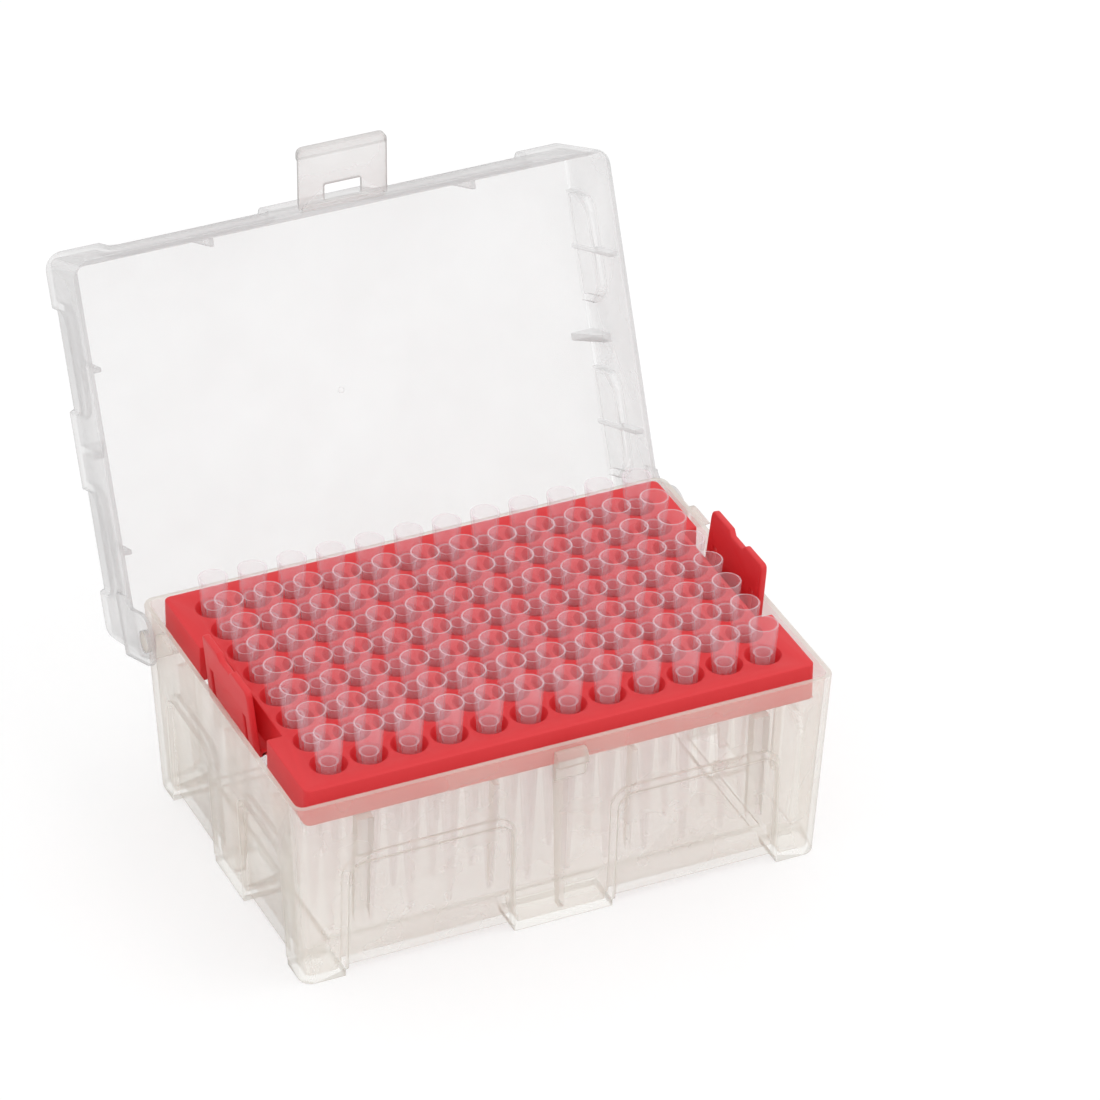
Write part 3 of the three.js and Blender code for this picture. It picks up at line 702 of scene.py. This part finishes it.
lid_rib_thickness = 1.1 * mm
lid_rib_depth = 2 * mm
hold_down_thickness = 1.8 * mm
hold_down_depth = 5.5 * mm
wing_rise = 8 * mm
hold_down_top = lid_top - (deck_top + wing_rise + 1 * mm)
lid_ribs = []
for turn, reach in walls(lid_length, lid_width):
    low, high = side_panel if reach == lid_length / 2 else front_panel
    places = [(side * (low + high) / 2, lid_rib_thickness, lid_rib_depth,
               lid_height - lid_rib_thickness, panel_depth) for side in (-1, 1)]
    if reach == lid_length / 2:
        places.append((0, hold_down_thickness, hold_down_depth, hold_down_top, 0))
    for across, thickness, depth, top, recess in places:
        step = lid_panel_height + over_panel
        inner = [reach - lid_wall - (lid_height - z) * lid_lean for z in (lid_wall / 2, top, step)]
        outline = [
            (-inner[0] - lid_wall / 2 + recess, lid_wall / 2),
            (-inner[0] + depth, lid_wall / 2),
            (-inner[1] + min(depth, lid_rib_depth), top),
            (-inner[1] - lid_wall / 2, top),
            (-inner[2] - lid_wall / 2, step),
            (-inner[2] - lid_wall / 2 + recess, step - hair),
        ]
        lid_rib = round_free_edge(plate("lid_rib", outline, thickness, across))
        lid_ribs.append(moved(lid_rib, Matrix.Rotation(turn, 4, "Z")))
combine(lid_shell, gather(lid_ribs), "UNION")
moved(lid_shell, Matrix.Translation((0, 0, lid_top)) @ Matrix.Rotation(math.pi, 4, "X"))

# The ears, and the mark of the gate in the middle of the plate.

ear_thickness = 1.2 * mm
ear_at = base_length / 2 + 0.3 * mm + ear_thickness / 2
ear_top = lid_rim + 6 * mm
ear_front = ear_middle - ear_radius
ear = plate("ear", [
    (ear_middle + ear_radius, ear_top),
    (ear_front - ear_fillet, ear_top),
    *arc(ear_front - ear_fillet, lid_rim - ear_fillet, ear_fillet, 90, 0, 6),
    *arc(ear_middle, pivot.z, ear_radius, 180, 360, 20),
], ear_thickness, ear_at)
soften(ear, 0.25 * mm, segments=3, angle=50)
eye = rod("eye", pin_radius + 0.1 * mm, 3 * ear_thickness, (ear_at, pivot.y, pivot.z))
combine(ear, eye, "DIFFERENCE")
combine(lid_shell, both_sides(ear), "UNION")

gate_radius, gate_length = 0.7 * mm, 1 * mm
gate = rod("gate", gate_radius, gate_length, (0, 0, 0), sides=32)
moved(gate, Matrix.Translation((0, 0, lid_top - lid_wall)) @ Matrix.Rotation(math.pi / 2, 4, "Y"))
soften(gate, 0.2 * mm, segments=3)
combine(lid_shell, gate, "UNION")

# The lid looks a little clearer and cooler than the base.

measure_thickness(lid_shell)
lid_plastic = milky_plastic("moulded_clear_polypropylene_lid", "EDECEC", 0.3, 0.18, 20 * mm)
finish_piece(moved(lid_shell, in_frame @ lid_open), lid_plastic, "lid", ["lid"])


# The latch flap
#
# A thin plate moulded with the lid, which hangs from its front rim by a film hinge. A window in it clips
# over the catch, and a lip along its free edge gives the finger a hold.

flap_half = 10.3 * mm
flap_foot = -15 * mm
flap_root = -0.4 * mm
flap_back = -0.1 * mm
flap_front = flap_back - flap_thickness
lip_front = flap_front - 0.7 * mm
flap_corner = 1.4 * mm
window_half = 4.3 * mm
flap = plate("flap", [
    (flap_back, flap_root),
    (flap_back, flap_foot),
    (lip_front, flap_foot),
    (lip_front, flap_foot + 2.6 * mm),
    (flap_front, flap_foot + 2.9 * mm),
    (flap_front, flap_root - 1.4 * mm),
    (flap_back - 0.3 * mm, flap_root),
], 2 * flap_half)
edit(flap, "EDGE", lambda e: along(e, 1) and middle(e).z < flap_foot + hair)
bpy.ops.mesh.bevel(offset=flap_corner, segments=6, affect="EDGES")
done()
window_from = window_top - film_line.z
window = block("window", (-window_half, -5 * mm, window_from - window_height),
               (window_half, 5 * mm, window_from))
edit(window, "EDGE", lambda e: along(e, 1))
bpy.ops.mesh.bevel(offset=0.4 * mm, segments=3, affect="EDGES")
done()
combine(flap, window, "DIFFERENCE")
soften(flap, 0.15 * mm)

# Thin as it is, the flap looks cloudier than the lid, so its haze is denser.

hanging = Matrix.Translation(film_line)
flap_out = Matrix.Rotation(-math.radians(flap_joint["range_deg"][1]), 4, "X")
measure_thickness(flap)
flap_plastic = milky_plastic("moulded_clear_polypropylene_flap", "E8E5E3", 0.35, 0.36, 10 * mm)
finish_piece(moved(flap, in_frame @ lid_open @ hanging @ flap_out), flap_plastic,
             "flap", ["latch_flap"])


# The film hinge
#
# Where the flap joins the lid's rim the plastic is moulded only a quarter of a millimetre thick, so that it
# bends there for years. It turns white and cloudy where it has bent.

film_spine = [Vector((0, 0.3, 1.1)), Vector((0, 0.2, 0.45)), Vector((0, 0, 0.1)),
              flap_out @ Vector((0, -0.2, -0.35)), flap_out @ Vector((0, -0.25, -1))]
film_half = 0.13
film_width = 19 * mm
film_sides = [[], []]
for number, point in enumerate(film_spine):
    before, after = film_spine[max(number - 1, 0)], film_spine[min(number + 1, len(film_spine) - 1)]
    across = (after - before).normalized().cross(Vector((1, 0, 0))) * film_half
    for side, sign in zip(film_sides, (1, -1)):
        edge_point = (point + sign * across) * mm
        side.append((edge_point.y, edge_point.z))
film = plate("film_hinge", film_sides[0] + film_sides[1][::-1], film_width)
film_place = in_frame @ lid_open @ hanging
moved(film, film_place)
measure_thickness(film)
film_plastic = milky_plastic("bent_clear_polypropylene_film", "ECEAE8", 0.35, 0.9, 5 * mm)
finish_piece(film, film_plastic, None, [], angle=60)
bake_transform(film)


# The red deck
#
# One opaque red moulding that rests on the base's ribs: a plate with a well for each tip and a skirt round
# it. At each end a wing stands in a finger pocket, and by the wings the full deck is lifted out.

pitch = 9 * mm
columns, rows = 12, 8
deck_wall = 1.5 * mm
deck_plate = 3 * mm
pocket_from = deck_length / 2 - 3.5 * mm

deck_corner = 1.5 * mm
deck = block("deck", (-deck_length / 2, -deck_width / 2, -deck_height),
             (deck_length / 2, deck_width / 2, 0))
edit(deck, "EDGE", lambda e: along(e, 2))
bpy.ops.mesh.bevel(offset=deck_corner, segments=6, affect="EDGES")
done()
hollow = block("hollow", (deck_wall - deck_length / 2, deck_wall - deck_width / 2, -2 * deck_height),
               (deck_length / 2 - deck_wall, deck_width / 2 - deck_wall, -deck_plate))


def pockets(grow, name):
    """The room of the finger pockets at both ends of the deck, made larger all round by `grow`."""
    inner, half = pocket_from - grow, pocket_half + grow
    return both_sides(block(name, (inner, -half, -3 * deck_height), (deck_length, half, deck_height)))


combine(hollow, pockets(deck_wall, "pocket_walls"), "DIFFERENCE")
combine(deck, hollow, "DIFFERENCE")
combine(deck, pockets(0, "pockets"), "DIFFERENCE")

wing_thickness = 1.5 * mm
wing_lean = 0.1
wing_foot = wing_width / 2 + 0.6 * mm
notch_half = 3.8 * mm
notch_depth = 1.2 * mm
horn = 1.2 * mm
half_outline = [
    (wing_foot, -deck_height),
    *arc(wing_width / 2 - horn, wing_rise - horn, horn, 0, 90, 4),
    (notch_half, wing_rise),
    (notch_half - notch_depth, wing_rise - notch_depth),
]
outline = half_outline + [(-y, z) for y, z in reversed(half_outline)]
wing_outside = deck_length / 2 + 1.9 * mm
wing = plate("wing", outline, wing_thickness, wing_outside - wing_thickness / 2)
wing_top = Matrix.Translation((wing_outside, 0, wing_rise))
moved(wing, wing_top @ Matrix.Rotation(math.atan(wing_lean), 4, "Y") @ wing_top.inverted())
slot_at = wing_width / 2 - 3.2 * mm
slot_half = 0.9 * mm
slot_top = 0.4 * mm
for side in (-1, 1):
    slot_low = (0, side * slot_at - slot_half, deck_wall - deck_height)
    slot_high = (deck_length, side * slot_at + slot_half, slot_top)
    combine(wing, block("slot", slot_low, slot_high), "DIFFERENCE")
pocket_floor = block("pocket_floor", (pocket_from - deck_wall / 2, -wing_width / 2, -deck_height),
                     (wing_outside - wing_thickness / 2 - (wing_rise + deck_height) * wing_lean,
                      wing_width / 2, deck_wall - deck_height))
combine(wing, pocket_floor, "UNION")
combine(deck, both_sides(wing), "UNION")
soften(deck, 0.35 * mm, segments=3)


# Each tip has a well in the plate and a sleeve under it, cut to the tip's own taper.


def turned(name, profile, sides):
    """A shape turned about z, from a ring at each (radius, z) of its profile."""
    bpy.ops.object.select_all(action="DESELECT")
    radius, z = profile[0]
    bpy.ops.mesh.primitive_circle_add(vertices=sides, radius=radius, location=(0, 0, z))
    bpy.ops.object.transform_apply(location=True)
    piece = bpy.context.object
    piece.name = name
    bpy.ops.object.mode_set(mode="EDIT")
    bpy.ops.mesh.select_mode(type="EDGE")
    bpy.ops.mesh.select_all(action="SELECT")
    for next_radius, next_z in profile[1:]:
        bpy.ops.mesh.extrude_region_move(TRANSFORM_OT_translate={"value": (0, 0, next_z - z)})
        grow = next_radius / radius
        bpy.ops.transform.resize(value=(grow, grow, 1), center_override=(0, 0, next_z))
        radius, z = next_radius, next_z
    return piece


def close_ends(piece):
    """Fills the first and last ring, so that the turned shape is solid."""
    bpy.ops.mesh.select_all(action="SELECT")
    bpy.ops.mesh.fill_holes(sides=0)
    bpy.ops.mesh.select_all(action="SELECT")
    bpy.ops.mesh.normals_make_consistent(inside=False)
    done()
    return piece


grid = [Vector(((c - (columns - 1) / 2) * pitch, (r - (rows - 1) / 2) * pitch, 0))
        for r in range(rows) for c in range(columns)]


def on_grid(piece):
    """The piece copied to every place of the grid, as one object."""
    copies = [copy_of(piece, piece.name, Matrix.Translation(at)) for at in grid]
    bpy.data.objects.remove(piece)
    return gather(copies)


tip_rise = 7.7 * mm
tip_drop = 42.2 * mm
tip_rim = 3.25 * mm
tip_neck = 2.65 * mm
tip_end = 0.45 * mm
well = (pitch - 1.2 * mm) / 2
seat = tip_neck - (tip_neck - tip_end) * deck_plate / tip_drop + 0.04 * mm
sleeve_drop = deck_plate + 3.5 * mm
sleeves = on_grid(close_ends(turned("sleeve", [
    (well, -deck_plate + 0.5 * mm),
    (seat + 0.9 * mm, -sleeve_drop),
], 24)))
combine(deck, sleeves, "UNION")
wells = on_grid(close_ends(turned("well", [
    (well + 0.5 * mm, 0.5 * mm),
    (well + 0.3 * mm, 0),
    (well + 0.1 * mm, -0.1 * mm),
    (well, -0.3 * mm),
    (seat, -deck_plate),
    (seat + 0.1 * mm, -sleeve_drop - 1 * mm),
], 32)))
combine(deck, wells, "DIFFERENCE")

# Coloured right through, with the same fine spark finish: an even red with a soft, broad shine.

red_grain_width = 0.4 * mm
red_plastic, tree, surface = new_material("moulded_red_polypropylene_deck")
place = add_node(tree, "ShaderNodeTexCoord")
skin = add_node(tree, "ShaderNodeTexNoise", {
    "Vector": place.outputs["Object"], "Scale": 1 / red_grain_width, "Detail": 2})
bump = add_node(tree, "ShaderNodeBump", {
    "Height": skin.outputs[0], "Strength": 0.15, "Distance": grain_depth})
red = add_node(tree, "ShaderNodeBsdfPrincipled", {
    "Base Color": srgb("D9292F"), "Roughness": 0.5, "IOR": 1.5, "Specular IOR Level": 0.45,
    "Normal": bump.outputs[0]})
tree.links.new(red.outputs[0], surface)
on_base = in_frame @ Matrix.Translation((0, grid_shift, deck_top))
finish_piece(moved(deck, on_base), red_plastic, "base", ["tip_deck"])


# The tips
#
# Thin clear polypropylene cones, open at both ends. Each is wedged in its well by its own taper. Inside the
# wide end a small step stops the pipette's cone.

tip_master = turned("tip", [
    (tip_end, -tip_drop),
    (tip_end + 0.12 * mm, -tip_drop + 0.3 * mm),
    (tip_neck, 0),
    (tip_rim - 0.06 * mm, tip_rise - 0.5 * mm),
    (tip_rim, tip_rise - 0.35 * mm),
    (tip_rim, tip_rise - 0.1 * mm),
    (tip_rim - 0.1 * mm, tip_rise),
    (tip_rim - 0.4 * mm, tip_rise),
    (tip_rim - 0.5 * mm, tip_rise - 0.15 * mm),
    (tip_neck - 0.4 * mm, 0.8 * mm),
    (tip_neck - 0.5 * mm, 0.6 * mm),
    (tip_neck - 0.95 * mm, 0.45 * mm),
    (tip_neck - 1.1 * mm, -1.5 * mm),
    (tip_end - 0.2 * mm, -tip_drop),
    (tip_end, -tip_drop),
], 32)
bpy.ops.mesh.select_all(action="SELECT")
bpy.ops.mesh.remove_doubles(threshold=0.001 * mm)
bpy.ops.mesh.normals_make_consistent(inside=False)
done()

# Their colour holds a painted reflection: the pink that the red deck all round casts on their thin walls
# is put in their own colour.
# The first four rows are nodes of their own in the CAD, and the other four are one with its deck.

measure_thickness(tip_master)
tip_plastic_with_painted_red = milky_plastic("clear_polypropylene_tip_with_painted_red_reflection", "F9EBF2", 0.3, 0.22, 4 * mm)
loose_rows = 4
for index, at in enumerate(grid):
    row, column = divmod(index, columns)
    name = f"tip_{'abcdefgh'[row]}{column + 1}"
    tip = copy_of(tip_master, "clear_" + name, on_base @ Matrix.Translation(at))
    finish_piece(tip, tip_plastic_with_painted_red, "base", [name] if row < loose_rows else [])
bpy.data.objects.remove(tip_master)


low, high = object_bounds()
